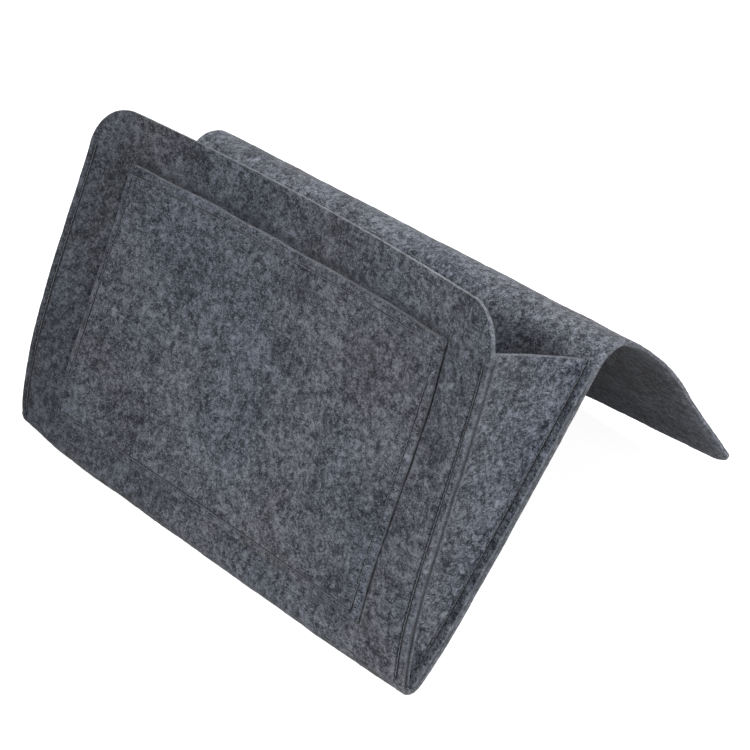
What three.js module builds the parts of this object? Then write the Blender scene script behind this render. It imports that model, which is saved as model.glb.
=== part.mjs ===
// Hanging felt storage bag: one long felt sheet makes the front panel, the rounded bottom, the
// back panel and the tuck flap; two gussets close its sides and a flat pocket is sewn on the front.
// Millimetres, +Z up. The bag stands like a tent, on its rounded bottom and on the flap's edge.
import * as THREE from 'three';

// Felt and seams
const felt = 3; // thickness of every felt layer
const fit = 0.3; // clearance between layers and threads that lie on each other
const seamInset = 4.5; // needle row from the edge that it holds
const threadWidth = 0.9;
const threadHeight = 0.5;

// How finely the surfaces are cut up
const panelColumns = 20;
const arcRows = 8;
const panelRows = 12;
const cornerSteps = 6;
const strandRows = 3;
const gussetRows = 14;
const seamRows = 22;
const pocketSeamRows = 72;
const hemRows = 20;

// Long sheet, measured along its middle layer from the fold line under the pocket
const sheetWidth = 320;
const frontHeight = 195; // fold line to the front panel's top edge
const backHeight = 182.7; // fold line to the start of the top bend
const flapFlatLength = 135; // flat end of the flap
const cornerRadius = 22; // rounded corners of the front panel and of the flap
const bottomRadius = 9.4; // rounded bottom, at the middle layer
const mouthAngle = 19.1; // between the front panel and the back panel
const bendRadius = 16.5; // top bend, at the middle layer
const bendTurn = 87.6; // degrees turned by the top bend
const sweepRadius = 113; // the flap falls on in a wide curve
const sweepTurn = 15.3; // degrees turned by that curve

// The top bend folds on this many lines across the sheet
const foldLines = 4;
const foldGap = 0.7; // room on a fold line

// Soft shape of the front panel
const sagDepth = 17; // middle of the panel drawn in towards the back
const sagCrest = 0.73; // share of the panel's straight height where it is drawn in most
const bellyDepth = 3.5; // the whole panel stands out a little, a third of the way up

// Gussets
const flangeWidth = 9; // strip of a gusset that lies on a panel
const gussetFrontTop = 173; // height of a gusset along the front panel
const gussetBackTop = 182; // and along the back panel
const gussetFoot = 9; // both edges of a gusset start this far from the fold line
const seamMargin = 2; // a side seam stops this far from a gusset's ends

// Outer pocket, sewn flat on the front panel
const pocketWidth = 252;
const pocketBottom = 25; // from the fold line
const pocketTop = 169.5;
const pocketGape = 7; // its top edge stands off in the middle
const gapeGrowth = 1.5; // power of the height by which it does
const pocketHem = 5.5; // needle row under the top edge
const seamCorner = 7; // the pocket's seam turns its corners on this radius

const rad = THREE.MathUtils.degToRad;
const { lerp, clamp } = THREE.MathUtils;
const mouth = rad(mouthAngle);
const bend = rad(bendTurn);
const sweep = rad(sweepTurn);
const halfBottom = (Math.PI - mouth) / 2; // the rounded bottom turns this much on each side
const bottomArc = bottomRadius * halfBottom;
const bendArc = bendRadius * bend;
const sweepArc = sweepRadius * sweep;
const flapEnd = backHeight + bendArc + sweepArc + flapFlatLength;
const halfWidth = sheetWidth / 2;

// A path in the side view: a list of runs, each with a length and the angle that it turns left.
// Returns the point and the heading after a given length.
function walk(runs, length) {
  let y = 0;
  let z = 0;
  let heading = 0;
  let left = length;
  for (const run of runs) {
    const step = run === runs[runs.length - 1] ? left : Math.min(left, run.length);
    const turned = run.turn * (step / run.length);
    const chord = Math.abs(turned) < 1e-9 ? step : (2 * step * Math.sin(turned / 2)) / turned;
    y += chord * Math.cos(heading + turned / 2);
    z += chord * Math.sin(heading + turned / 2);
    heading += turned;
    left -= step;
    if (left <= 0) break;
  }
  return { y, z, heading };
}

const backRuns = [
  { length: bottomArc, turn: halfBottom },
  { length: backHeight - bottomArc, turn: 0 },
  { length: bendArc, turn: -bend },
  { length: sweepArc, turn: -sweep },
  { length: flapFlatLength, turn: 0 },
];
const frontRuns = [
  { length: bottomArc, turn: halfBottom },
  { length: frontHeight - bottomArc, turn: 0 },
];

// The bag is turned until its rounded bottom and the flap's lower edge stand on one level
const bottomCentre = { y: 0, z: bottomRadius };
const edge = walk(backRuns, flapEnd);
const footY = edge.y + (felt / 2) * Math.sin(edge.heading) - bottomCentre.y;
const footZ = edge.z - (felt / 2) * Math.cos(edge.heading) - bottomCentre.z;
const standHeight = bottomRadius + felt / 2;
const stand = -Math.asin(standHeight / Math.hypot(footY, footZ)) - Math.atan2(footZ, footY);

function settle(x, y, z) {
  const dy = y - bottomCentre.y;
  const dz = z - bottomCentre.z;
  const cos = Math.cos(stand);
  const sin = Math.sin(stand);
  return new THREE.Vector3(x, cos * dy - sin * dz, standHeight + sin * dy + cos * dz);
}

// Point of the back panel, the bend or the flap: x across, s along the sheet from the fold line,
// lift from the middle layer towards the side that looks up
function backPoint(x, s, lift) {
  const at = walk(backRuns, s);
  return settle(x, at.y - lift * Math.sin(at.heading), at.z + lift * Math.cos(at.heading));
}

// How far the front panel stands out of its flat place: t (1 - t)^2 has its peak at a third
const bellyPeak = 4 / 27;
function frontBulge(x, v) {
  const t = clamp((v - bottomArc) / (frontHeight - bottomArc), 0, 1);
  const across = 1 - (x / halfWidth) ** 2;
  const belly = bellyDepth * ((t * (1 - t) ** 2) / bellyPeak);
  return belly - sagDepth * across * (1 - (1 - t / sagCrest) ** 2);
}

// Point of the front panel: x across, v up from the fold line, lift outwards
function frontPoint(x, v, lift) {
  const at = walk(frontRuns, v);
  const out = lift + frontBulge(x, v);
  return settle(x, -at.y - out * Math.sin(at.heading), at.z - out * Math.cos(at.heading));
}

// A box with its corners at 0 and 1 is bent into shape by the function place(a, b, c)
function bentBox(columns, rows, place) {
  const geometry = new THREE.BoxGeometry(1, 1, 1, columns, rows, 1);
  const position = geometry.attributes.position;
  for (let i = 0; i < position.count; i += 1) {
    const a = position.getX(i) + 0.5;
    const b = position.getY(i) + 0.5;
    const c = position.getZ(i) + 0.5;
    const point = place(a, b, c);
    position.setXYZ(i, point.x, point.y, point.z);
  }
  geometry.computeVertexNormals();
  return geometry;
}

// Rows along a sheet: each span has an end and a count of rows; at(b) gives the length at share b
function spans(start, ...list) {
  const stops = [start];
  for (const [end, count] of list) {
    const from = stops[stops.length - 1];
    for (let i = 1; i <= count; i += 1) stops.push(lerp(from, end, i / count));
  }
  const rows = stops.length - 1;
  return { rows, at: (b) => stops[Math.round(b * rows)] };
}

// Half the width of a sheet whose corners are rounded at its end
function roundedHalf(half, end, length) {
  const into = clamp(length - (end - cornerRadius), 0, cornerRadius);
  return half - cornerRadius + Math.sqrt(cornerRadius ** 2 - into ** 2);
}

// Rows that close up towards a rounded end. The last one stops a hair before the full round, where
// the sheet's width still has no jump.
const roundShare = 0.999;
function cornerSpans(end) {
  const list = [];
  for (let i = 1; i <= cornerSteps; i += 1) {
    const angle = (i / cornerSteps) * (Math.PI / 2);
    list.push([end - cornerRadius + cornerRadius * roundShare * Math.sin(angle), 1]);
  }
  return list;
}

function frontPanel() {
  const rows = spans(
    fit / 2,
    [bottomArc, arcRows],
    [frontHeight - cornerRadius, panelRows],
    ...cornerSpans(frontHeight),
  );
  return bentBox(panelColumns, rows.rows, (a, b, c) => {
    const v = rows.at(b);
    const half = roundedHalf(halfWidth, frontHeight, v);
    return frontPoint(lerp(-half, half, a), v, (c - 0.5) * felt);
  });
}

// A straight-sided stretch of the back sheet between two lengths
function backStretch(rows, half) {
  return bentBox(1, rows.rows, (a, b, c) => {
    const s = rows.at(b);
    return backPoint(lerp(-half(s), half(s), a), s, (c - 0.5) * felt);
  });
}

const full = () => halfWidth;
const foldLine = (i) => backHeight + (bendArc * (2 * i - 1)) / (2 * foldLines);

function backPanel() {
  const end = foldLine(1) - foldGap / 2;
  return backStretch(spans(fit / 2, [bottomArc, arcRows], [backHeight, 1], [end, 2]), full);
}

function bendStrip(i) {
  const end = foldLine(i + 1) - foldGap / 2;
  return backStretch(spans(foldLine(i) + foldGap / 2, [end, strandRows]), full);
}

function flap() {
  const start = foldLine(foldLines) + foldGap / 2;
  const bendEnd = backHeight + bendArc;
  const rows = spans(
    start,
    [bendEnd, 2],
    [bendEnd + sweepArc, arcRows],
    [flapEnd - cornerRadius, 1],
    ...cornerSpans(flapEnd),
  );
  return backStretch(rows, (s) => roundedHalf(halfWidth, flapEnd, s));
}

// The outer pocket follows the front panel and stands off towards the middle of its top edge
function pocketStandOff(x, v) {
  const up = clamp((v - pocketBottom) / (pocketTop - pocketBottom), 0, 1);
  const across = (1 - (x / (pocketWidth / 2)) ** 2) ** 2;
  return felt + fit + pocketGape * across * up ** gapeGrowth;
}

function pocketPoint(x, v, lift) {
  return frontPoint(x, v, pocketStandOff(x, v) + lift);
}

function outerPocket() {
  const rows = spans(pocketBottom, [pocketTop, panelRows]);
  return bentBox(panelColumns, rows.rows, (a, b, c) => {
    return pocketPoint(lerp(-pocketWidth / 2, pocketWidth / 2, a), rows.at(b), (c - 0.5) * felt);
  });
}

// A gusset: a flange on the front panel, a web across the side, a flange on the back panel.
// side is -1 on the left and 1 on the right; h is the share of its height.
const flangeLift = felt + fit;
const webX = halfWidth - flangeWidth + felt / 2;
const footShare = 0.04; // the narrow foot has closer rows

function gusset(side) {
  const rows = spans(0, [footShare, 2], [1, gussetRows]);
  return bentBox(3, rows.rows, (a, b, c) => {
    const h = rows.at(b);
    const v = lerp(gussetFoot, gussetFrontTop, h);
    const s = lerp(gussetFoot, gussetBackTop, h);
    const column = Math.round(a * 3);
    const order = side > 0 ? column : 3 - column;
    const face = (c - 0.5) * felt;
    const onFlange = order === 0 || order === 3;
    const x = onFlange ? halfWidth : webX + face;
    const lift = flangeLift + face;
    return order < 2 ? frontPoint(side * x, v, -lift) : backPoint(side * x, s, lift);
  });
}

// A thread lies along a line on a felt face; path(length) gives x, y and the heading on the sheet
function thread(path, length, rows, surface, face) {
  const low = felt / 2 + fit;
  return bentBox(1, rows, (a, b, c) => {
    const at = path(b * length);
    const off = (a - 0.5) * threadWidth;
    const lift = face * (low + c * threadHeight);
    const over = face > 0 ? off : -off;
    return surface(at.x + over * Math.sin(at.heading), at.y - over * Math.cos(at.heading), lift);
  });
}

// A straight row that climbs a panel at one side
function climb(x, from, to) {
  return { length: to - from, path: (l) => ({ x, y: from + l, heading: Math.PI / 2 }) };
}

const seamX = halfWidth - seamInset;
const frontSeam = (side) => climb(side * seamX, gussetFoot + seamMargin, gussetFrontTop - seamMargin);
const backSeam = (side) => climb(side * seamX, gussetFoot + seamMargin, gussetBackTop - seamMargin);

// Needle thread on the outer face of the front panel, bobbin thread on the flange inside
function frontNeedle(side) {
  const row = frontSeam(side);
  return thread(row.path, row.length, seamRows, frontPoint, 1);
}

function frontBobbin(side) {
  const row = frontSeam(side);
  return thread(row.path, row.length, seamRows, (x, v, lift) => frontPoint(x, v, lift - flangeLift), -1);
}

// Needle thread on the flange, bobbin thread on the rear face of the back panel
function backNeedle(side) {
  const row = backSeam(side);
  return thread(row.path, row.length, seamRows, (x, s, lift) => backPoint(x, s, lift + flangeLift), 1);
}

function backBobbin(side) {
  const row = backSeam(side);
  return thread(row.path, row.length, seamRows, backPoint, -1);
}

// The outer pocket's seam runs down one side, along the bottom and up the other side
const pocketSeamX = pocketWidth / 2 - seamInset;
const pocketSeamBottom = pocketBottom + seamInset;
const sideRun = pocketTop - pocketHem - pocketSeamBottom - seamCorner - threadWidth;
const turnRun = (seamCorner * Math.PI) / 2;
const bottomRun = 2 * (pocketSeamX - seamCorner);
const pocketRuns = [
  { length: sideRun, turn: 0 },
  { length: turnRun, turn: Math.PI / 2 },
  { length: bottomRun, turn: 0 },
  { length: turnRun, turn: Math.PI / 2 },
  { length: sideRun, turn: 0 },
];
const pocketSeamLength = 2 * (sideRun + turnRun) + bottomRun;

function pocketSeamPath(length) {
  const at = walk(pocketRuns, length);
  const top = pocketSeamBottom + seamCorner + sideRun;
  return { x: -pocketSeamX + at.z, y: top - at.y, heading: at.heading - Math.PI / 2 };
}

function pocketNeedle() {
  return thread(pocketSeamPath, pocketSeamLength, pocketSeamRows, pocketPoint, 1);
}

function pocketBobbin() {
  return thread(pocketSeamPath, pocketSeamLength, pocketSeamRows, frontPoint, -1);
}

function pocketHemThread() {
  const start = -pocketWidth / 2 + seamMargin;
  const path = (l) => ({ x: start + l, y: pocketTop - pocketHem, heading: 0 });
  return thread(path, -2 * start, hemRows, pocketPoint, 1);
}

const feltLook = { roughness: 0.95, metalness: 0 };
const feltGrey = new THREE.MeshStandardMaterial({ color: 0x6a6d72, ...feltLook });
const insideGrey = new THREE.MeshStandardMaterial({ color: 0x62656a, ...feltLook });
const threadGrey = new THREE.MeshStandardMaterial({ color: 0x24262b, roughness: 0.7, metalness: 0 });

const bag = new THREE.Group();
function add(name, geometry, material) {
  const mesh = new THREE.Mesh(geometry, material);
  mesh.name = name;
  bag.add(mesh);
}

add('front_panel', frontPanel(), feltGrey);
add('back_panel', backPanel(), feltGrey);
for (let i = 1; i < foldLines; i += 1) add(`bend_strip_${i}`, bendStrip(i), feltGrey);
add('flap', flap(), feltGrey);
add('outer_pocket', outerPocket(), feltGrey);
for (const [name, side] of [['left', -1], ['right', 1]]) {
  add(`gusset_${name}`, gusset(side), insideGrey);
  add(`front_seam_${name}_needle_thread`, frontNeedle(side), threadGrey);
  add(`front_seam_${name}_bobbin_thread`, frontBobbin(side), threadGrey);
  add(`back_seam_${name}_needle_thread`, backNeedle(side), threadGrey);
  add(`back_seam_${name}_bobbin_thread`, backBobbin(side), threadGrey);
}
add('outer_pocket_seam_needle_thread', pocketNeedle(), threadGrey);
add('outer_pocket_seam_bobbin_thread', pocketBobbin(), threadGrey);
add('outer_pocket_hem_thread', pocketHemThread(), threadGrey);

// The origin is on the table, under the middle of the standing bag
const box = new THREE.Box3().setFromObject(bag);
bag.position.set(0, -(box.min.y + box.max.y) / 2, -box.min.z);

export default bag;
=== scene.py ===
"""Looks of the hanging felt storage bag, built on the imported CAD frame.

The file is laid out as a Blender add-on and run as a script: the sidebar's panel lists one
operator per piece or group of like pieces, and main() calls them in order.
"""

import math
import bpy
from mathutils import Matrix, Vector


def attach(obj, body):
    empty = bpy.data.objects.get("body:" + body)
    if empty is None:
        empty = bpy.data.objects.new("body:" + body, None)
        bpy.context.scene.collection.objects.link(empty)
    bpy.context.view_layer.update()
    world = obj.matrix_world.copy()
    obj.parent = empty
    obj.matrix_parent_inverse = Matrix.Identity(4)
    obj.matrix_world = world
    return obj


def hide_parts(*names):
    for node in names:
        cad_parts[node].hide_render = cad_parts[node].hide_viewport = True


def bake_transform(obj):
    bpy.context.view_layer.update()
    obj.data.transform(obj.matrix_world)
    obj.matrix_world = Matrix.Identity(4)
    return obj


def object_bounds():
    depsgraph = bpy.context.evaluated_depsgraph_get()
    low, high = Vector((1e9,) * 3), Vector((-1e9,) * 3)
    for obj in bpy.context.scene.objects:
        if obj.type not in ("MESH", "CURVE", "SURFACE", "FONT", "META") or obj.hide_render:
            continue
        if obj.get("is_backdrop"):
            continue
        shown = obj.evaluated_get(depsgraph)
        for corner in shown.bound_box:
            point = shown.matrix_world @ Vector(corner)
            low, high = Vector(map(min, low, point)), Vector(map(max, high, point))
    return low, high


bl_info = {
    "name": "Felt storage bag",
    "version": (1, 0, 0),
    "blender": (4, 5, 0),
    "location": "View3D > Sidebar > Felt bag",
    "description": "Models a hanging felt storage bag with a tuck-in flap on its packed frame",
    "category": "Object",
}

import bmesh
import bpy
import numpy as np
from mathutils import Vector

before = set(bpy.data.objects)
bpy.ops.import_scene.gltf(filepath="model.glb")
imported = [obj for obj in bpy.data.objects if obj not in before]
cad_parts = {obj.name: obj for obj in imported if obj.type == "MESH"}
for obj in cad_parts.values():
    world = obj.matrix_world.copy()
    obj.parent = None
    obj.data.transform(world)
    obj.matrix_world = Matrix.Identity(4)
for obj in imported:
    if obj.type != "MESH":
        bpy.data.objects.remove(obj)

MM = 0.001

LAYER_GAP = 0.1 * MM  # between layers of felt that lie on each other
NEEDLE_DEPTH = 0.75 * MM  # how far a needle row pulls a face of the felt in
EDGE_ROUNDING = 0.55 * MM  # of the felt's cut edges
THREAD_RADIUS = 0.24 * MM
THREAD_DEPTH = 0.55 * MM  # of a side seam's thread below the felt's face
FRONT_SEAM_TOP = 171 * MM  # upper ends of the side seams, from the fold line
BACK_SEAM_TOP = 180 * MM
GUSSET_FOOT = 7 * MM  # ends of a gusset, from the fold line
GUSSET_FRONT_TOP = 173 * MM
GUSSET_BACK_TOP = 182 * MM
HEM_INSET = 5.2 * MM  # needle row under the outer pocket's top edge
POCKET_GAPE = 3.4 * MM  # how far the middle of that edge stands off
BEND_PARTS = 4  # pieces of the top bend, one for each of its folds
LEFT_CORNER = 1.1  # the front panel's left corner is that much rounder


class BagSize(bpy.types.PropertyGroup):
    """Sizes of the bag, measured along the felt."""

    width: bpy.props.FloatProperty(
        name="Width", description="Across the felt sheet", default=0.320, unit="LENGTH"
    )
    felt: bpy.props.FloatProperty(
        name="Felt", description="Thickness of every layer", default=0.003, unit="LENGTH"
    )
    front_height: bpy.props.FloatProperty(
        name="Front height",
        description="Fold line to the front panel's top edge",
        default=0.195,
        unit="LENGTH",
    )
    back_height: bpy.props.FloatProperty(
        name="Back height",
        description="Fold line to the start of the top bend",
        default=0.1827,
        unit="LENGTH",
    )
    mouth_angle: bpy.props.FloatProperty(
        name="Mouth angle",
        description="Between the front panel and the back panel",
        default=math.radians(19.1),
        subtype="ANGLE",
    )
    bottom_radius: bpy.props.FloatProperty(
        name="Bottom radius", description="Of the rounded bottom", default=0.0094, unit="LENGTH"
    )
    stand: bpy.props.FloatProperty(
        name="Stand",
        description="The whole bag's turn about the rounded bottom until the flap stands too",
        default=math.radians(32.238),
        subtype="ANGLE",
    )
    bottom_y: bpy.props.FloatProperty(
        name="Bottom's place",
        description="Where the rounded bottom's centre is along Y",
        default=-0.11547,
        unit="LENGTH",
    )
    bend_radius: bpy.props.FloatProperty(
        name="Bend radius", description="Of the tight top bend", default=0.01636, unit="LENGTH"
    )
    bend_turn: bpy.props.FloatProperty(
        name="Bend turn",
        description="Turned by the tight top bend",
        default=math.radians(85.44),
        subtype="ANGLE",
    )
    sweep_radius: bpy.props.FloatProperty(
        name="Sweep radius", description="Of the flap's wide curve", default=0.1773, unit="LENGTH"
    )
    sweep_turn: bpy.props.FloatProperty(
        name="Sweep turn",
        description="Turned by the flap's wide curve",
        default=math.radians(22.21),
        subtype="ANGLE",
    )
    flap_end: bpy.props.FloatProperty(
        name="Flap's end",
        description="Length of the flap after its wide curve",
        default=0.0951,
        unit="LENGTH",
    )
    corner_radius: bpy.props.FloatProperty(
        name="Corner radius",
        description="Of the front panel's and the flap's corners",
        default=0.0223,
        unit="LENGTH",
    )
    pocket_width: bpy.props.FloatProperty(
        name="Pocket width", description="Of the outer pocket", default=0.252, unit="LENGTH"
    )
    pocket_bottom: bpy.props.FloatProperty(
        name="Pocket's lower edge",
        description="Up the front panel from the fold line",
        default=0.0248,
        unit="LENGTH",
    )
    pocket_top: bpy.props.FloatProperty(
        name="Pocket's upper edge",
        description="Up the front panel from the fold line",
        default=0.1695,
        unit="LENGTH",
    )
    flange: bpy.props.FloatProperty(
        name="Flange",
        description="Strip of a gusset that lies on a panel",
        default=0.009,
        unit="LENGTH",
    )
    seam_inset: bpy.props.FloatProperty(
        name="Seam inset", description="Needle row from its edge", default=0.0045, unit="LENGTH"
    )
    stitch: bpy.props.FloatProperty(
        name="Stitch", description="Length of one stitch", default=0.0031, unit="LENGTH"
    )
    cell: bpy.props.FloatProperty(
        name="Cell", description="Spacing of the felt's mesh", default=0.0016, unit="LENGTH"
    )


class BagColours(bpy.types.PropertyGroup):
    """Colours of the felt's fibres and of the thread."""

    dark: bpy.props.FloatVectorProperty(
        name="Dark fibres",
        description="Felt's darkest fibres",
        default=(0.012, 0.015, 0.025),
        subtype="COLOR",
    )
    mid: bpy.props.FloatVectorProperty(
        name="Slate fibres",
        description="Felt's main fibres",
        default=(0.127, 0.136, 0.163),
        subtype="COLOR",
    )
    pale: bpy.props.FloatVectorProperty(
        name="Pale fibres",
        description="Felt's palest fibres",
        default=(0.200, 0.215, 0.252),
        subtype="COLOR",
    )
    thread: bpy.props.FloatVectorProperty(
        name="Thread",
        description="Sewing thread",
        default=(0.022, 0.024, 0.031),
        subtype="COLOR",
    )


def smooth_step(share):
    """From 0 to 1 with level ends."""
    share = np.clip(share, 0, 1)
    return share * share * (3 - 2 * share)


def walk(runs, lengths):
    """Points and headings at the given lengths along runs of (length, angle turned left)."""
    left = np.array(lengths, float)
    y, z, heading = (np.zeros_like(left) for _ in range(3))
    for i, (run, turn) in enumerate(runs):
        step = left if i == len(runs) - 1 else np.minimum(left, run)
        turned = turn * step / run
        chord = step * np.sinc(turned / (2 * np.pi))
        y = y + chord * np.cos(heading + turned / 2)
        z = z + chord * np.sin(heading + turned / 2)
        heading = heading + turned
        left = left - step
    return y, z, heading


class Shape:
    """Surfaces of the standing bag. x is across, s along the long sheet from the fold line under
    the pocket: negative up the front panel, positive up the back and on along the flap."""

    slide = 12.7 * MM  # how much less far the flap's right side reaches
    lean = 0.056  # how much that side leans inwards, as a share of its length
    twist, lift = 3.93 * MM, 4.55 * MM  # of the flap's end, 100 mm past its wide curve
    pinch_start, pinch_run = 0.100, 0.060  # from the middle, where the bottom's ends draw in
    pinch_reach = 11 * MM  # round the bottom on the left, twice that on the right
    pinch_in, pinch_down = 3.9 * MM, 4.8 * MM
    back_bow = 1.1 * MM

    def __init__(self, size):
        self.size = size
        self.half = size.width / 2
        turn = (math.pi - size.mouth_angle) / 2
        self.arc = size.bottom_radius * turn
        self.bend = size.bend_radius * size.bend_turn
        self.sweep = size.sweep_radius * size.sweep_turn
        self.flap_start = size.back_height + self.bend + self.sweep
        self.end = self.flap_start + size.flap_end
        self.back_runs = [
            (self.arc, turn),
            (size.back_height - self.arc, 0),
            (self.bend, -size.bend_turn),
            (self.sweep, -size.sweep_turn),
            (size.flap_end, 0),
        ]
        self.front_runs = [(self.arc, turn), (size.front_height - self.arc, 0)]
        self.stand_height = size.bottom_radius + size.felt / 2
        self.stand = -size.stand

    def settle(self, y, z):
        """Turns the side view about the rounded bottom's centre until the flap stands too."""
        z = z - self.size.bottom_radius
        cos, sin = math.cos(self.stand), math.sin(self.stand)
        return self.size.bottom_y + cos * y - sin * z, self.stand_height + sin * y + cos * z

    def rightness(self, x):
        """From 0 at the left edge to 1 at the right edge."""
        return (1 + x / self.half) / 2

    def curl(self, x, s):
        """The flap's end lifts a little, more on the right."""
        t = np.maximum(s - self.flap_start, 0) / (100 * MM)
        return self.twist * (x / self.half) * t + self.lift * t**2

    def askew(self, x, s):
        """The flap falls a little askew: its right side reaches less far and leans inwards."""
        right = self.rightness(x)
        past = s - self.size.back_height
        slide = self.slide * right**2
        drawn = smooth_step((past - self.bend) / (self.end - self.size.back_height - self.bend))
        fallen = past + slide * (smooth_step(past / self.bend) - drawn)
        inwards = self.lean * np.maximum(fallen - self.bend / 2, 0) * right
        return x - inwards, s - slide * drawn

    def pinch(self, x, s):
        """The seams' lower ends draw the rounded bottom in; only on the left does it lift too."""
        right = self.rightness(x)
        share = np.clip((np.abs(x) - self.pinch_start) / self.pinch_run, 0, 1) ** 2
        share = share * np.exp(-((s / (self.pinch_reach * (1 + right))) ** 2))
        inwards = self.pinch_in + (self.pinch_down - self.pinch_in) * right
        return inwards * share, self.pinch_down * right * share

    def bulge(self, x, s):
        """The front panel stands out below and is drawn in towards the middle above: polynomials
        in the share t of its height and the place a across, in millimetres."""
        t = np.clip((-s - self.arc) / (self.size.front_height - self.arc), 0, 1)
        a = x / self.half
        belly = 9.96 * t * (1 - t) + 20.3 * t * (1 - t) * (1 - 2 * t)
        sag = (1 - a**2) * (31.4 * t**2 - 46.0 * t)
        lopsided = a * (9.64 * t**2 - 5.58 * t)
        low = np.maximum(-s, 0) / (14 * MM)
        toe = 1.3 * (1 - a**4) * low * np.exp(1 - low)
        return MM * (belly + sag + lopsided + toe)

    def bow(self, s):
        """The back panel bows out a little."""
        t = np.clip((s - self.arc) / (self.size.back_height - self.arc), 0, 1)
        return self.back_bow * np.sin(np.pi * t)

    def sheet(self, x, s, up=0.0):
        """Points of the long sheet; up is the distance from the middle layer to the inner side."""
        x, s, up = np.broadcast_arrays(x, s, up)
        x, s = self.askew(x, s)
        inwards, down = self.pinch(x, s)
        y, z, heading = walk(self.back_runs, np.maximum(s, 0))
        lift = up + inwards + self.curl(x, s) - self.bow(s)
        back = (y - lift * np.sin(heading), z + lift * np.cos(heading))
        y, z, heading = walk(self.front_runs, np.maximum(-s, 0))
        lift = up + inwards - self.bulge(x, s)
        front = (-y + lift * np.sin(heading), z + lift * np.cos(heading))
        y, z = (np.where(s < 0, f, b) for f, b in zip(front, back))
        return np.stack([x, *self.settle(y, z - down)], -1)

    def pocket(self, x, v, out=0.0):
        """The outer pocket lies on the front panel; its top edge stands off a little."""
        size = self.size
        rise = np.clip((v - size.pocket_bottom) / (size.pocket_top - size.pocket_bottom), 0, 1)
        across = np.clip(1 - (2 * x / size.pocket_width) ** 2, 0, 1) ** 2
        off = size.felt + LAYER_GAP + POCKET_GAPE * across * rise**2
        return self.sheet(x, -v, -off - out)


def random_waves(seed, count, length):
    """Wave vectors of a smooth random field with about the given wavelength."""
    random = np.random.default_rng(seed)
    angle = random.uniform(0, 2 * np.pi, count)
    wave = 2 * np.pi / (length * random.uniform(0.7, 1.5, count))
    return wave * np.cos(angle), wave * np.sin(angle), random.uniform(0, 2 * np.pi, count)


def field(seed, length, x, y):
    """A smooth random field of about unit size over the felt."""
    total = np.zeros(np.broadcast(x, y).shape)
    waves = 14
    for kx, ky, phase in zip(*random_waves(seed, waves, length)):
        total += np.cos(kx * x + ky * y + phase)
    return total / math.sqrt(waves / 2)


def felt_relief(seed, x, s, side):
    """Height of one face of the felt over its flat place, in metres."""
    seed = seed * 10 + (side > 0)
    fine = 0.045 * MM * field(seed, 3.6 * MM, x, s)
    coarse = 0.05 * MM * field(seed + 2, 11 * MM, x, s)
    return fine + coarse


def waviness(seed, x, s):
    """Both faces of a felt sheet wander together."""
    return 0.09 * MM * field(seed + 400, 38 * MM, x, s)


def row_press(distance, width=0.72 * MM):
    """How far a needle row pulls the felt in, from 0 to 1, with a low lip on both sides."""
    d = distance / width
    lip = 0.14 * np.exp(-((np.abs(d) - 2.6) ** 2))
    return np.exp(-(d**2)) - lip


def stations(start, stop, step, lines=()):
    """Even stations from start to stop, with more of them close to needle rows."""
    count = max(1, round(abs(stop - start) / step))
    found = np.linspace(start, stop, count + 1)
    beside = np.array([0.4, 0.8, 1.3, 1.9, 2.6]) * MM
    close = np.concatenate([-beside[::-1], [0], beside])
    low, high = min(start, stop) + 0.3 * MM, max(start, stop) - 0.3 * MM
    for line in lines:
        found = found[(np.abs(found - line) > 3.2 * MM) | np.isin(found, (start, stop))]
        near = line + close
        found = np.concatenate([found, near[(near > low) & (near < high)]])
    found = np.sort(found)
    return found if start < stop else found[::-1]


def rounded(stops, end, radius):
    """Stations that close up towards a sheet's end with rounded corners, and stop just short of
    it, where the corners' edge runs straight across."""
    straight = stops[np.abs(stops) < abs(end) - radius]
    angle = np.linspace(0, np.pi / 2, 15)
    curved = abs(end) - radius + radius * np.sin(angle) * 0.9995
    return np.concatenate([straight, np.sign(end) * curved])


def corner_half(half, end, radius, s):
    """Half the width of a sheet at s, with the corners at its end rounded."""
    into = np.clip(np.abs(s) - (abs(end) - radius), 0, radius)
    return half - radius + np.sqrt(np.maximum(radius**2 - into**2, 0))


def rim_share(distance, reach):
    """From 1 at a rim down to 0 at the given reach from it."""
    return np.clip(1 - distance / reach, 0, 1)


def with_neighbours(stops):
    """The stations with one more at both ends, for slopes there."""
    before, after = 2 * stops[0] - stops[1], 2 * stops[-1] - stops[-2]
    return np.concatenate([[before], stops, [after]])


def no_shade(c, r, side):
    """No painted shade on the colour and no painted gap shadow."""
    return 1.0, 0.0


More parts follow.
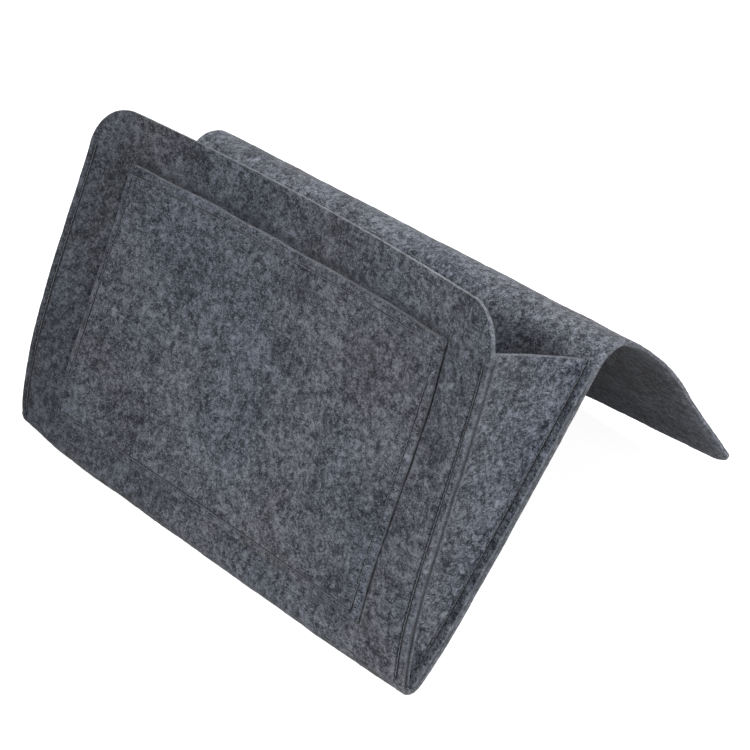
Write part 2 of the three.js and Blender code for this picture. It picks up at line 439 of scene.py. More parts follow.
def slab(
    name, columns, rows, middle, press, felt, place,
    cut_ends=(False, False), seed=0, thin=None, shade=None, mottle=1.0,
):
    """A closed sheet of felt over a grid of columns and rows.

    middle(c, r) gives points of the middle layer, press(c, r, side) how far needle rows pull a face
    in, which also darkens the colour there as painted shade, place(c, r) where a point is on the
    flat felt, thin(c, r, side) what a face lies lower near a rim, and shade(c, r, side) the painted
    shade and light multiplied into the colour and a painted shadow along a gap between parts.
    mottle is how strongly its tufts differ. An end that is cut off, because the same felt goes on
    in the next piece, keeps a sharp edge."""
    nc, nr = len(columns), len(rows)
    c, r = np.meshgrid(with_neighbours(columns), with_neighbours(rows))
    points = middle(c, r)
    along = np.gradient(points, axis=1)
    up = np.gradient(points, axis=0)
    normal = np.cross(along, up)
    normal /= np.linalg.norm(normal, axis=-1, keepdims=True)
    c, r = c[1:-1, 1:-1], r[1:-1, 1:-1]
    points, normal = points[1:-1, 1:-1], normal[1:-1, 1:-1]
    fx, fs = place(c, r)
    faces, pressed_and_painted_shade, painted_shading, painted_gap_shadow = {}, {}, {}, {}
    for side in (-1, 1):
        pressed_and_painted_shade[side] = press(c, r, side) + np.zeros(c.shape)
        height = felt / 2 + felt_relief(seed, fx, fs, side) + side * waviness(seed, fx, fs)
        height -= NEEDLE_DEPTH * pressed_and_painted_shade[side]
        if thin:
            height -= thin(c, r, side)
        shades = (shade or no_shade)(c, r, side)
        painted_shading[side], painted_gap_shadow[side] = (value + np.zeros(c.shape) for value in shades)
        faces[side] = points + normal * (side * height)[..., None]

    bm = bmesh.new()
    bmesh.ops.create_grid(bm, x_segments=nc - 1, y_segments=nr - 1, size=1)
    column = bm.verts.layers.int.new("column")
    row = bm.verts.layers.int.new("row")
    flat = bm.verts.layers.float_vector.new("felt_place")
    # the press values also darken the colour as painted shade in grooves and gaps; the tone factor
    # is painted shade and light
    held = bm.verts.layers.float.new("pressed_and_painted_shade")
    tone = bm.verts.layers.float.new("tone")
    mixed = bm.verts.layers.float.new("mottle")
    for v in bm.verts:
        v[column] = round((v.co.x + 1) / 2 * (nc - 1))
        v[row] = round((v.co.y + 1) / 2 * (nr - 1))
    lower = set(bm.verts)
    bmesh.ops.extrude_face_region(bm, geom=bm.faces[:], use_keep_orig=True)
    for v in bm.verts:
        side = -1 if v in lower else 1
        i, j = v[row], v[column]
        v.co = faces[side][i, j]
        v[flat] = (fx[i, j], fs[i, j], side * felt / 2)
        # painted shade: grooves, contact shadows and gap shadows darken the colour
        v[held] = max(0.0, pressed_and_painted_shade[side][i, j], painted_gap_shadow[side][i, j])
        # painted shade and light, multiplied into the colour
        v[tone] = painted_shading[side][i, j]
        v[mixed] = mottle
    for f in bm.faces:
        sides = {v in lower for v in f.verts}
        f.material_index = 1 if len(sides) == 2 else 0
        f.smooth = True
    bmesh.ops.recalc_face_normals(bm, faces=bm.faces)
    kept = {0: cut_ends[0], nr - 1: cut_ends[1]}
    rims = []
    for e in bm.edges:
        kinds = {f.material_index for f in e.link_faces}
        if kinds != {0, 1}:
            continue
        at_end = {v[row] for v in e.verts}
        if len(at_end) == 1 and kept.get(at_end.pop(), False):
            e.smooth = False
            continue
        rims.append(e)
    bmesh.ops.bevel(
        bm, geom=rims, offset=EDGE_ROUNDING, offset_type="OFFSET", segments=2, profile=0.5,
        affect="EDGES", material=-1, clamp_overlap=True,
    )
    mesh = bpy.data.meshes.new(name)
    bm.to_mesh(mesh)
    bm.free()
    obj = bpy.data.objects.new(name, mesh)
    bpy.context.scene.collection.objects.link(obj)
    obj.data.materials.append(felt_material("felt_face", cut=False))
    obj.data.materials.append(felt_material("felt_cut_edge", cut=True))
    return obj


def plug(tree, values):
    """Links or sets each socket of a dictionary of sockets and values."""
    for socket, value in values.items():
        if isinstance(value, bpy.types.NodeSocket):
            tree.links.new(value, socket)
        else:
            socket.default_value = value


def math_node(tree, operation, a, b=0.0):
    """The outcome of one sum, by a node."""
    made = tree.nodes.new("ShaderNodeMath")
    made.operation = operation
    plug(tree, {made.inputs[0]: a, made.inputs[1]: b})
    return made.outputs[0]


def product(tree, a, b):
    """Of two values, by a node."""
    return math_node(tree, "MULTIPLY", a, b)


def mix_colour(tree, factor, a, b, blend="MIX"):
    """The colour a covered by b as far as the factor says."""
    made = tree.nodes.new("ShaderNodeMix")
    made.data_type = "RGBA"
    made.blend_type = blend
    plug(tree, {made.inputs[0]: factor, made.inputs[6]: a, made.inputs[7]: b})
    return made.outputs[2]


def noise(tree, vector, scale, detail, rough, distortion=0.0):
    """A noise texture's value, scale being waves per metre."""
    made = tree.nodes.new("ShaderNodeTexNoise")
    values = {"Vector": vector, "Scale": scale, "Detail": detail, "Roughness": rough}
    values["Distortion"] = distortion
    plug(tree, {made.inputs[name]: value for name, value in values.items()})
    return made.outputs["Fac"]


def ramp(tree, value, low, high):
    """From 0 at low to 1 at high."""
    made = tree.nodes.new("ShaderNodeMapRange")
    made.clamp = True
    values = {"Value": value, "From Min": low, "From Max": high}
    plug(tree, {made.inputs[name]: value for name, value in values.items()})
    return made.outputs["Result"]


def attribute(tree, name, output="Fac"):
    """A value kept on the mesh's points."""
    made = tree.nodes.new("ShaderNodeAttribute")
    made.attribute_name = name
    return made.outputs[output]


def fibres(tree, place, angle, stretch, scale, distortion):
    """Thin curved lines where the value is 0: the level line of a stretched, warped noise."""
    turn = tree.nodes.new("ShaderNodeMapping")
    turn.inputs["Rotation"].default_value = (0, 0, angle)
    turn.inputs["Scale"].default_value = (scale, scale * stretch, scale)
    tree.links.new(place, turn.inputs["Vector"])
    value = noise(tree, turn.outputs[0], 1.0, 1.5, 0.5, distortion)
    return math_node(tree, "ABSOLUTE", math_node(tree, "SUBTRACT", value, 0.5))


def felt_material(name, cut):
    """Felt of mixed black, slate and pale fibres, mottled at several sizes from noises of so many
    waves per metre; cut makes the colour paler, a painted highlight on cut edges."""
    found = bpy.data.materials.get(name)
    if found:
        return found
    material = bpy.data.materials.new(name)
    material.use_nodes = True
    tree = material.node_tree
    shader = tree.nodes["Principled BSDF"]
    place = attribute(tree, "felt_place", "Vector")

    cloud = noise(tree, place, 34, 2.0, 0.5, 0.4)
    clump = noise(tree, place, 190, 3.0, 0.62, 0.8)
    tuft = noise(tree, place, 380, 1.5, 0.6, 0.8)
    grain = noise(tree, place, 640, 2.0, 0.6, 0.6)
    speck = noise(tree, place, 1500, 1.0, 0.5)
    mixed = attribute(tree, "mottle")
    mottle = product(tree, math_node(tree, "SUBTRACT", cloud, 0.5), 0.8)
    # each size of tuft with its weight, and how much more it weighs on a mottled piece
    for value, weight, more in (
        (clump, 0.25, 0.50),
        (tuft, 0.60, 0.60),
        (grain, 1.60, 0.20),
        (speck, 0.65, 0.0),
    ):
        weight = math_node(tree, "ADD", product(tree, mixed, more), weight)
        part = product(tree, math_node(tree, "SUBTRACT", value, 0.5), weight)
        mottle = math_node(tree, "ADD", mottle, part)
    tone = ramp(tree, mottle, -0.42, 0.42)

    colours = bpy.context.scene.bag_colours
    dark, mid, pale = (*colours.dark, 1), (*colours.mid, 1), (*colours.pale, 1)
    lower = mix_colour(tree, ramp(tree, tone, 0.05, 0.55), dark, mid)
    colour = mix_colour(tree, ramp(tree, tone, 0.45, 1.0), lower, pale)

    # single dark and pale fibres, in places only
    lines = 0.0
    for angle, stretch, scale in ((0.4, 2.2, 230), (1.5, 2.0, 300), (2.6, 2.6, 190)):
        off = fibres(tree, place, angle, stretch, scale, 1.6)
        lines = math_node(tree, "MAXIMUM", ramp(tree, off, 0.080, 0.018), lines)
    gate = ramp(tree, noise(tree, place, 260, 2.0, 0.5, 0.5), 0.26, 0.60)
    colour = mix_colour(tree, product(tree, lines, gate), colour, (0.006, 0.008, 0.014, 1))
    light = ramp(tree, fibres(tree, place, 0.9, 2.8, 340, 1.8), 0.055, 0.012)
    gate = ramp(tree, noise(tree, place, 240, 2.0, 0.5, 0.3), 0.38, 0.66)
    light = product(tree, product(tree, light, gate), 0.45)
    colour = mix_colour(tree, light, colour, (0.33, 0.36, 0.41, 1))

    # warmer and cooler patches, a painted highlight on cut edges, and each piece's painted shade
    # and light
    warmth = ramp(tree, noise(tree, place, 11, 2.0, 0.5, 0.3), 0.35, 0.65)
    tint = mix_colour(tree, warmth, (0.97, 1.0, 1.05, 1), (1.04, 1.0, 0.975, 1))
    colour = mix_colour(tree, 1.0, colour, tint, "MULTIPLY")
    # painted highlight: a cut edge is mixed towards a paler grey
    if cut:
        colour = mix_colour(tree, 0.2, colour, (0.23, 0.24, 0.26, 1))
    # painted shade and light: the colour is multiplied by the mesh's tone factor
    colour = mix_colour(tree, 1.0, colour, attribute(tree, "tone"), "MULTIPLY")
    # painted shade: near-black in needle-row grooves, round the outer pocket and along the seam
    # gaps
    held = product(tree, ramp(tree, attribute(tree, "pressed_and_painted_shade"), 0.18, 0.75), 0.9)
    colour = mix_colour(tree, held, colour, (0.012, 0.014, 0.020, 1))
    tree.links.new(colour, shader.inputs["Base Color"])
    shader.inputs["Roughness"].default_value = 0.95
    shader.inputs["Specular IOR Level"].default_value = 0.15
    shader.inputs["Sheen Weight"].default_value = 0.12
    shader.inputs["Sheen Roughness"].default_value = 0.6

    fuzz = math_node(tree, "ADD", grain, product(tree, clump, 0.8))
    fuzz = math_node(tree, "ADD", fuzz, product(tree, speck, 0.5))
    bump = tree.nodes.new("ShaderNodeBump")
    bump.inputs["Strength"].default_value = 0.55
    bump.inputs["Distance"].default_value = 0.35 * MM
    tree.links.new(fuzz, bump.inputs["Height"])
    tree.links.new(bump.outputs[0], shader.inputs["Normal"])
    return material


def thread_material():
    """Dark sewing thread."""
    found = bpy.data.materials.get("thread")
    if found:
        return found
    material = bpy.data.materials.new("thread")
    material.use_nodes = True
    tree = material.node_tree
    shader = tree.nodes["Principled BSDF"]
    coordinates = tree.nodes.new("ShaderNodeTexCoord")
    twist = noise(tree, coordinates.outputs["Object"], 2500, 1.0, 0.5)
    middle = Vector(bpy.context.scene.bag_colours.thread)
    colour = mix_colour(tree, twist, (*(middle * 0.45), 1), (*(middle * 1.55), 1))
    tree.links.new(colour, shader.inputs["Base Color"])
    shader.inputs["Roughness"].default_value = 0.6
    return material


def thread(name, points):
    """A sewing thread through the given points, as a mesh."""
    curve = bpy.data.curves.new(name, "CURVE")
    curve.dimensions = "3D"
    curve.bevel_depth = THREAD_RADIUS
    curve.bevel_resolution = 1
    curve.use_fill_caps = True
    spline = curve.splines.new("POLY")
    spline.points.add(len(points) - 1)
    for target, point in zip(spline.points, points):
        target.co = (*point, 1)
    drawn = bpy.data.objects.new(name + "_curve", curve)
    bpy.context.scene.collection.objects.link(drawn)
    graph = bpy.context.evaluated_depsgraph_get()
    mesh = bpy.data.meshes.new_from_object(drawn.evaluated_get(graph))
    bpy.data.objects.remove(drawn)
    mesh.name = name
    mesh.shade_smooth()
    obj = bpy.data.objects.new(name, mesh)
    bpy.context.scene.collection.objects.link(obj)
    obj.data.materials.clear()
    obj.data.materials.append(thread_material())
    return obj


def stitched(length, size):
    """Stations along a row and the thread's height at each: it dips at every needle hole."""
    count = max(1, round(length / size.stitch))
    part = np.arange(count * 6 + 1) / 6
    low = np.abs((part % 1) - 0.5) * 2
    lift = 0.25 * MM - 0.95 * MM * low**5
    return part / count * length, lift


def side_rows(size, shape):
    """Where the side seams run: x of the row and its ends on the front and on the back."""
    low = shape.arc + 0.6 * MM
    return shape.half - size.seam_inset, (low, FRONT_SEAM_TOP), (low, BACK_SEAM_TOP)


class BagOperator:
    """What the operators of the bag share."""

    bl_options = {"REGISTER", "UNDO"}

    def execute(self, context):
        self.build(context.scene.bag_size, Shape(context.scene.bag_size))
        return {"FINISHED"}


def sheet_painted_shade(shape, x, s, side):
    """Painted shade and light on the long sheet's colour: the front panel is darker, least at its
    top and right, and the flap's underside is dark at the bend and paler towards its right corner."""
    front = np.clip((-s - shape.arc) / (12 * MM), 0, 1)
    turned = np.clip(0.5 - s / (2 * shape.arc), 0, 1)
    top = np.clip((-s - shape.size.pocket_top) / (12 * MM), 0, 1)
    start = shape.size.back_height + shape.bend
    along = np.clip((s - start) / (shape.end - start), 0, 1)
    # painted shade on the flap's underside near the bend, painted light towards its right corner
    under = 1.30 * along * shape.rightness(x) ** 4 - 0.42 * np.clip(along * 6, 0, 1)
    # painted shade on the front panel, darker to the left, with painted light along its top strip
    front = 0.17 * front - 0.09 * top - 0.13 * x / shape.half * turned
    return 1 - front + (side < 0) * under


def painted_seam_gap_shadow(shape, c, s, side):
    """Painted shadow in the gap between the long sheet's side edge and a gusset's flange, up to the
    flange's end and darker on the front panel."""
    beside = np.abs(c) > shape.half - 0.1 * MM
    dark = np.where(s < 0, 0.8, 0.4)
    return dark * beside * (side > 0) * np.clip((172 * MM - np.abs(s)) / (2 * MM), 0, 1)


def sheet_piece(name, shape, columns, rows, press, cut_ends, corners=None, thin=None):
    """A stretch of the long felt sheet; corners is its end that has rounded corners."""

    # painted shade and light on the colour, and a painted shadow in the gap beside each gusset
    def shade(c, r, side):
        return sheet_painted_shade(shape, c, r, side), painted_seam_gap_shadow(shape, c, r, side)

    def spread(c, r):
        if corners is None:
            return c
        radius = shape.size.corner_radius * (LEFT_CORNER if corners < 0 else 1) ** (c < 0)
        return c * corner_half(shape.half, corners, radius, r) / shape.half

    def middle(c, r):
        return shape.sheet(spread(c, r), r)

    def place(c, r):
        return spread(c, r), r

    def pressed_and_painted_shade(c, r, side):
        return press(spread(c, r), r, side)

    felt = shape.size.felt
    return slab(name, columns, rows, middle, pressed_and_painted_shade, felt, place, cut_ends, 1, thin, shade, 0.8)


class FELTBAG_OT_front(BagOperator, bpy.types.Operator):
    """Front panel: the long sheet above the rounded bottom, with two rounded top corners."""

    bl_idname = "feltbag.front"
    bl_label = "Front panel"

    def build(self, size, shape):
        row, span, _ = side_rows(size, shape)
        side, low, top = size.pocket_width / 2 + 0.3 * MM, size.pocket_bottom, size.pocket_top
        columns = stations(-shape.half, shape.half, size.cell, (-row, -side, side, row))
        rows = stations(-shape.arc, -size.front_height, size.cell, (-low,))
        rows = rounded(rows, -size.front_height, LEFT_CORNER * size.corner_radius)[::-1]

        def press(x, s, face):
            """The side seams' rows and the dents round the outer pocket, fainter low down; the
            colour darkens with them as painted shade, and just above the pocket's top edge that is
            a painted contact shadow with only a shallow dent.
            """
            held = 1.3 * row_press(np.abs(x) - row, 1.1 * MM)
            held = held * np.clip((span[1] + s) / (2 * MM), 0, 1)
            # beside the pocket's sides: a dent with a painted contact shadow, stronger on the right
            beside = np.clip((-s - low) / MM, 0, 1) * np.clip((top + s) / (3 * MM), 0, 1)
            faint = np.clip(0.5 + 0.6 * field(47, 22 * MM, 0 * x, s), 0, 1)
            beside = beside * (1 - 0.7 * faint * np.clip((105 * MM + s) / (30 * MM), 0, 1))
            beside = beside * row_press(np.abs(x) - side, 1.5 * MM) * (0.46 + 0.06 * np.sign(x))
            within = np.clip((side - np.abs(x)) / MM, 0, 1)
            # along the pocket's lower edge: a dent with a painted contact shadow
            below = row_press(-s - low) * within * 0.55
            # above the pocket's top edge: a painted contact shadow with a shallow dent
            above = 0.46 * np.exp(-(((-s - top - MM) / (3.5 * MM)) ** 2)) * within
            return (face < 0) * np.maximum.reduce([held, beside, below, above])

        def thin(c, s, face):
            """The outer side is thinner at the seams, which press it, and the inner side at the
            free rim.
            """
            beside = shape.half - np.abs(c)
            sewn = np.clip((span[1] + s) / (6 * MM), 0, 1)
            free = np.clip((-s - 174 * MM) / (4 * MM), 0, 1)
            outer = 0.5 * MM * sewn * rim_share(beside, 5 * MM)
            inner = 0.9 * MM * free * rim_share(np.minimum(beside, size.front_height + s), 4 * MM)
            return outer * (face < 0) + inner * (face > 0)

        obj = sheet_piece(
            "front_panel_felt", shape, columns, rows, press, (False, True), -size.front_height, thin
        )
        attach(obj, "front")
        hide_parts("front_panel")


class FELTBAG_OT_bottom(BagOperator, bpy.types.Operator):
    """Rounded bottom: the long sheet round the fold line under the pocket."""

    bl_idname = "feltbag.bottom"
    bl_label = "Rounded bottom"

    def build(self, size, shape):
        row, _, _ = side_rows(size, shape)
        columns = stations(-shape.half, shape.half, size.cell, (-row, row))
        rows = stations(-shape.arc, shape.arc, 1.2 * MM)

        def press(x, s, side):
            held = np.clip((np.abs(s) - shape.arc) / (2 * MM) + 1, 0, 1)
            return (side < 0) * held * row_press(np.abs(x) - row)

        obj = sheet_piece("bottom_fold_felt", shape, columns, rows, press, (True, True))
        ends = shape.sheet(np.zeros(2), np.array([shape.arc, -shape.arc]))
        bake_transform(obj)
        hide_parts("back_panel")


class FELTBAG_OT_back(BagOperator, bpy.types.Operator):
    """Back panel and the top bend: the long sheet behind the pocket and over the top."""

    bl_idname = "feltbag.back"
    bl_label = "Back panel and bend"

    def build(self, size, shape):
        row, _, span = side_rows(size, shape)
        columns = stations(-shape.half, shape.half, size.cell, (-row, row))

        def press(x, s, side):
            held = np.clip((span[1] - s) / (2 * MM), 0, 1)
            return (side < 0) * held * row_press(np.abs(x) - row)

        rows = stations(shape.arc, size.back_height, size.cell)
        panel = sheet_piece("back_panel_felt", shape, columns, rows, press, (True, True))
        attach(panel, "back")
        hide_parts("back_panel")
        for i in range(BEND_PARTS):
            start = size.back_height + shape.bend * i / BEND_PARTS
            stop = size.back_height + shape.bend * (i + 1) / BEND_PARTS
            rows = stations(start, stop, 1.0 * MM)
            obj = sheet_piece(f"bend_{i + 1}_felt", shape, columns, rows, press, (True, True))
            ends = shape.sheet(np.zeros(2), np.array([start, stop]))
            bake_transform(obj)
            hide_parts(f"bend_strip_{min(i + 1, 3)}")


class FELTBAG_OT_flap(BagOperator, bpy.types.Operator):
    """Flap: the long sheet's free end, falling in a wide curve, with two rounded corners."""

    bl_idname = "feltbag.flap"
    bl_label = "Flap"

    def build(self, size, shape):
        columns = stations(-shape.half, shape.half, size.cell)
        start = size.back_height + shape.bend
        rows = rounded(stations(start, shape.end, size.cell), shape.end, size.corner_radius)

        def press(x, s, side):
            return 0.0

        def thin(c, s, side):
            edge = np.minimum(shape.half - np.abs(c), shape.end - s)
            past = np.clip((s - start) / (10 * MM), 0, 1)
            return 1.2 * MM * (side < 0) * past * rim_share(edge, 5 * MM)

        obj = sheet_piece("flap_felt", shape, columns, rows, press, (True, False), shape.end, thin)
        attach(obj, "flap")
        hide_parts("flap")


class FELTBAG_OT_pocket(BagOperator, bpy.types.Operator):
    """Outer pocket: a felt patch sewn flat on the front panel on three sides."""

    bl_idname = "feltbag.pocket"
    bl_label = "Outer pocket"

    def build(self, size, shape):
        half = size.pocket_width / 2
        row = half - size.seam_inset
        low = size.pocket_bottom + size.seam_inset
        hem = size.pocket_top - HEM_INSET
        columns = stations(-half, half, size.cell, (-row, row))
        rows = stations(size.pocket_bottom, size.pocket_top, size.cell, (low, hem))

        def wander(c, r):
            """The patch is cut by hand: its sides and its top aren't quite straight."""
            x = c + 0.35 * MM * field(31, 45 * MM, c * 0 + np.sign(c), r) * np.abs(c / half) ** 6
            rise = (r - size.pocket_bottom) / (size.pocket_top - size.pocket_bottom)
            v = r + 0.16 * MM * field(37, 50 * MM, c, 0 * r + 0.1) * np.clip(rise, 0, 1) ** 8
            return x, v

        def middle(c, r):
            return shape.pocket(*wander(c, r))

        def press(x, v, side):
            below_hem = np.clip((hem - v) / (2 * MM), 0, 1) * (v > low - MM)
            sides = row_press(np.abs(x) - row) * below_hem
            bottom = row_press(v - low) * np.clip((row - np.abs(x)) / MM + 1, 0, 1)
            return (side > 0) * np.maximum(np.maximum(sides, bottom), 0.8 * row_press(v - hem))

        def thin(x, v, side):
            sides = rim_share(half - np.abs(x), 6 * MM) ** 2
            bottom = rim_share(v - size.pocket_bottom, 6 * MM) ** 2
            return 1.5 * MM * (side > 0) * np.maximum(sides, bottom)

        def place(c, r):
            """Far from the long sheet's place, so that its mottle differs."""
            return c + 0.7, r

        obj = slab(
            "outer_pocket_felt", columns, rows, middle, press, size.felt, place,
            seed=5, thin=thin, mottle=0.5,
        )
        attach(obj, "front")
        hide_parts("outer_pocket")


class FELTBAG_OT_gussets(BagOperator, bpy.types.Operator):
    """Gussets: a web across each side of the pocket with a folded flange on each panel."""

    bl_idname = "feltbag.gussets"
    bl_label = "Gussets"

    def build(self, size, shape):
        for name, side in (("left", -1), ("right", 1)):
            self.gusset(name, side, size, shape)

    def gusset(self, name, side, size, shape):
        off = size.felt + LAYER_GAP
        web = shape.half - size.flange + size.felt / 2
        flange = shape.half - web
        front_height, back_height = GUSSET_FRONT_TOP - GUSSET_FOOT, GUSSET_BACK_TOP - GUSSET_FOOT

        def unit(v):
            return v / np.linalg.norm(v, axis=-1, keepdims=True)

        def middle(c, h):
            """c runs 0 to 1 over the front flange, to 2 over the web and to 3 over the back one;
            both folds are rounded, with a short arm on the flange and a long one on the web."""
            v = GUSSET_FOOT + front_height * h
            s = GUSSET_FOOT + back_height * h
            a = shape.sheet(side * shape.half, -v, off)
            b = shape.sheet(side * web, -v, off)
            d = shape.sheet(side * web, s, off)
            e = shape.sheet(side * shape.half, s, off)
            c = c if side > 0 else 3 - c
            t = c[..., None]
            point = np.where(t < 1, a + (b - a) * t, b + (d - b) * (t - 1))
            point = np.where(t > 2, d + (e - d) * (t - 2), point)
            length = np.linalg.norm(d - b, axis=-1)
            arm = np.minimum(15 * MM, 0.45 * length)
            short = np.full_like(arm, 2.7 * MM)
            folds = ((1, b, a, d, short, arm), (2, d, b, e, arm, short))
            for k, corner, p, q, before, after in folds:
                scale = np.where(c < k, (flange, length)[k - 1], (length, flange)[k - 1])
                away = (c - k) * scale
                share = ((away + before) / (before + after))[..., None]
                start = corner + unit(p - corner) * before[..., None]
                stop = corner + unit(q - corner) * after[..., None]
                bent = start * (1 - share) ** 2 + corner * 2 * share * (1 - share) + stop * share**2
                inside = (away > -before) & (away < after)
                point = np.where(inside[..., None], bent, point)
            across = np.clip(c - 1, 0, 1)
            point[..., 0] -= side * 2.0 * MM * np.sin(np.pi * across) * np.clip(h, 0, 1) ** 1.5
            return point

        def place(c, h):
            k = c if side > 0 else 3 - c
            web_length = 15 * MM + 60 * MM * h
            x = np.minimum(k, 1) * flange + np.clip(k - 1, 0, 1) * web_length
            x = x + np.maximum(k - 2, 0) * flange
            return x + 1.4 + side * 0.2, GUSSET_FOOT + back_height * h

        def press(c, h, face):
            k = c if side > 0 else 3 - c
            to_row = np.where(k < 1.5, k, 3 - k) * flange - size.seam_inset
            return (face > 0) * row_press(to_row)

        def thin(c, h, face):
            return 0.9 * MM * (face > 0) * rim_share(np.minimum(c, 3 - c) * flange, 5 * MM)

        # no painted shade on the colour, and a painted shadow along the gap where a flange's edge
        # meets its panel, darker on the front
        def shade(c, h, face):
            front = (c < 1.5) == (side > 0)
            return 1.0, (0.4 + 0.4 * front) * (face < 0) * (np.minimum(c, 3 - c) < 0.001)

        share = size.seam_inset / flange
        beside = np.array([0.4, 0.9, 1.5, 2.2]) * MM / flange
        line = np.concatenate([-beside[::-1], [0], beside])
        flange_in = np.unique(np.concatenate([[0], share + line, [0.99]]))
        flange_in = flange_in[(flange_in >= 0) & (flange_in <= 0.99)]
        columns = np.concatenate([flange_in, 1 + np.linspace(0.0, 1, 44), 3 - flange_in[::-1]])
        columns = np.unique(np.round(columns, 5))
        rows = np.linspace(0, 1, 118)
        obj = slab(
            f"gusset_{name}_felt", columns, rows, middle, press, size.felt, place,
            seed=8 + side, thin=thin, shade=shade, mottle=1.35,
        )
        ends = self.blend_line(shape)
        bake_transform(obj)
        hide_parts(f"gusset_{name}")

    @staticmethod
    def blend_line(shape):
        """From the back panel to the front panel across the pocket's mouth."""
        return shape.sheet(np.full(2, shape.half), np.array([165, -165]) * MM)


class FELTBAG_OT_threads(BagOperator, bpy.types.Operator):
    """Thread rows: side seams, the outer pocket's seam and its hem row, upper and under threads."""

    bl_idname = "feltbag.threads"
    bl_label = "Threads"

    def build(self, size, shape):
        x, front, back = side_rows(size, shape)
        inner = size.felt + LAYER_GAP
        ends = FELTBAG_OT_gussets.blend_line(shape)
        for name, side in (("left", -1), ("right", 1)):
            for panel, way, (low, high) in (("front", -1, front), ("back", 1, back)):
                along, lift = stitched(high - low, size)
                s = way * (low + along)
                height = size.felt / 2 - THREAD_DEPTH + lift
                for kind, outside in (("needle", way < 0), ("bobbin", way > 0)):
                    row = f"{panel}_seam_{name}_{kind}"
                    up = -height if outside else inner + height
                    obj = thread(row, shape.sheet(side * x, s, up))
                    if not outside:
                        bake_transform(obj)
                    self.finish(obj, panel if outside else None, f"{row}_thread")
        self.pocket_threads(size, shape)

    def pocket_threads(self, size, shape):
        """One row down, across and up the outer pocket with round corners, and the hem's row."""
        half = size.pocket_width / 2 - size.seam_inset
        low = size.pocket_bottom + size.seam_inset
        hem = size.pocket_top - HEM_INSET
        radius = 2.5 * MM
        rise, corner = (hem - low - radius, 0), (radius * math.pi / 2, math.pi / 2)
        runs = [rise, corner, (2 * (half - radius), 0), corner, rise]
        along, lift = stitched(sum(run for run, _ in runs), size)
        down, across, _ = walk(runs, along)
        x, v = across - half, hem - down
        face = size.felt / 2
        obj = thread("outer_pocket_seam_needle", shape.pocket(x, v, face - 0.5 * MM + lift))
        self.finish(obj, "front", "outer_pocket_seam_needle_thread")
        obj = thread("outer_pocket_seam_bobbin", shape.sheet(x, -v, face - 0.1 * MM + lift))
        self.finish(obj, "front", "outer_pocket_seam_bobbin_thread")
        edge = size.pocket_width / 2 - 1.5 * MM
        along, lift = stitched(2 * edge, size)
        obj = thread("outer_pocket_hem", shape.pocket(along - edge, hem, face - 0.45 * MM + lift))
        self.finish(obj, "front", "outer_pocket_hem_thread")

    @staticmethod
    def finish(obj, body, cad_node):
        """Puts the thread on its body, where it rides on one, and hides the solid that it stands
        for.
        """
        if body:
            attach(obj, body)
        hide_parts(cad_node)


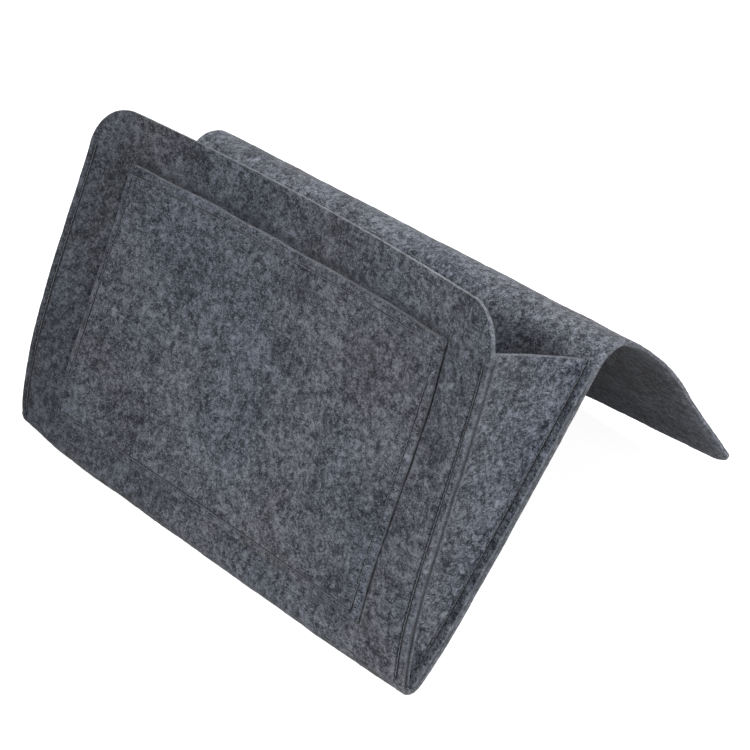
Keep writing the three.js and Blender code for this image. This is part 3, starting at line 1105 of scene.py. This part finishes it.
class FELTBAG_OT_stage(bpy.types.Operator):
    """Floor, soft lights and the camera at the photograph's angle."""

    bl_idname = "feltbag.stage"
    bl_label = "Stage"

    def execute(self, context):
        scene = context.scene
        bpy.ops.mesh.primitive_plane_add(size=8, location=(0, 0, 0))
        floor = context.active_object
        floor.name = "floor"
        floor.data.materials.append(self.floor_material())
        floor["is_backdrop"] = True

        world = bpy.data.worlds.new("studio")
        scene.world = world
        world.use_nodes = True
        tree = world.node_tree
        background = tree.nodes["Background"]
        background.inputs["Color"].default_value = (1, 1, 1, 1)
        level = math_node(tree, "ADD", self.for_the_camera(tree, 0.80), 0.22)
        tree.links.new(level, background.inputs["Strength"])

        key = self.light("key", "SPOT", (-0.90, -1.60, 1.60), (0.115, -0.06, 0.10), 334)
        key.spot_size = math.radians(16.5)
        key.spot_blend = 1.0
        key.shadow_soft_size = 0.35
        bag = (0, 0, 0.08)
        for name, place, size, power in (
            ("fill", (1.30, -0.22, 0.50), 0.8, 12.0),
            ("top", (0.25, 0.75, 1.40), 0.9, 22.5),
        ):
            soft = self.light(name, "AREA", place, bag, power)
            soft.shape = "DISK"
            soft.size = size
        scene.view_settings.view_transform = "Standard"

        data = bpy.data.cameras.new("camera")
        data.lens = 117.206
        data.sensor_width = 36
        data.clip_start = 0.05
        camera = bpy.data.objects.new("camera", data)
        camera.location = (0.85154, -0.69913, 0.73481)
        camera.rotation_euler = tuple(math.radians(a) for a in (58.3575, 1.9430, 49.4862))
        scene.collection.objects.link(camera)
        scene.camera = camera
        return {"FINISHED"}

    @staticmethod
    def for_the_camera(tree, level):
        """The level in what the camera sees, and nothing in the light on the bag."""
        seen = tree.nodes.new("ShaderNodeLightPath").outputs["Is Camera Ray"]
        return product(tree, seen, level)

    def floor_material(self):
        """A grey floor that keeps the bag's shadow and that the camera sees as white."""
        material = bpy.data.materials.new("floor")
        material.use_nodes = True
        tree = material.node_tree
        shader = tree.nodes["Principled BSDF"]
        shader.inputs["Base Color"].default_value = (0.42, 0.42, 0.42, 1)
        shader.inputs["Roughness"].default_value = 0.9
        glow = tree.nodes.new("ShaderNodeEmission")
        glow.inputs["Color"].default_value = (1, 1, 1, 1)
        tree.links.new(self.for_the_camera(tree, 0.88), glow.inputs["Strength"])
        add = tree.nodes.new("ShaderNodeAddShader")
        tree.links.new(shader.outputs[0], add.inputs[0])
        tree.links.new(glow.outputs[0], add.inputs[1])
        tree.links.new(add.outputs[0], tree.nodes["Material Output"].inputs["Surface"])
        return material

    @staticmethod
    def light(name, kind, place, target, power):
        """A light aimed at the target; gives its data."""
        data = bpy.data.lights.new(name, kind)
        data.energy = power
        obj = bpy.data.objects.new(name, data)
        obj.location = place
        aim = Vector(target) - Vector(place)
        obj.rotation_euler = aim.to_track_quat("-Z", "Y").to_euler()
        bpy.context.scene.collection.objects.link(obj)
        return data


PIECES = (
    FELTBAG_OT_front,
    FELTBAG_OT_bottom,
    FELTBAG_OT_back,
    FELTBAG_OT_flap,
    FELTBAG_OT_pocket,
    FELTBAG_OT_gussets,
    FELTBAG_OT_threads,
    FELTBAG_OT_stage,
)


class FELTBAG_PT_panel(bpy.types.Panel):
    """The bag's sizes and the operators that build it."""

    bl_idname = "FELTBAG_PT_panel"
    bl_label = "Felt storage bag"
    bl_space_type = "VIEW_3D"
    bl_region_type = "UI"
    bl_category = "Felt bag"

    def draw(self, context):
        for name in BagSize.__annotations__:
            self.layout.prop(context.scene.bag_size, name)
        for name in BagColours.__annotations__:
            self.layout.prop(context.scene.bag_colours, name)
        for operator in PIECES:
            self.layout.operator(operator.bl_idname)


CLASSES = (BagSize, BagColours, *PIECES, FELTBAG_PT_panel)


def register():
    for cls in CLASSES:
        bpy.utils.register_class(cls)
    bpy.types.Scene.bag_size = bpy.props.PointerProperty(type=BagSize)
    bpy.types.Scene.bag_colours = bpy.props.PointerProperty(type=BagColours)


def unregister():
    del bpy.types.Scene.bag_colours
    del bpy.types.Scene.bag_size
    for cls in reversed(CLASSES):
        bpy.utils.unregister_class(cls)


def corners():
    """The lowest and the highest corner of the box round the object."""
    return [list(corner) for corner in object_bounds()]


def main():
    """Builds every piece and the stage."""
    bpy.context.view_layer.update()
    register()
    bpy.ops.feltbag.front()
    bpy.ops.feltbag.bottom()
    bpy.ops.feltbag.back()
    bpy.ops.feltbag.flap()
    bpy.ops.feltbag.pocket()
    bpy.ops.feltbag.gussets()
    bpy.ops.feltbag.threads()
    bpy.ops.feltbag.stage()


if __name__ == "__main__":
    main()
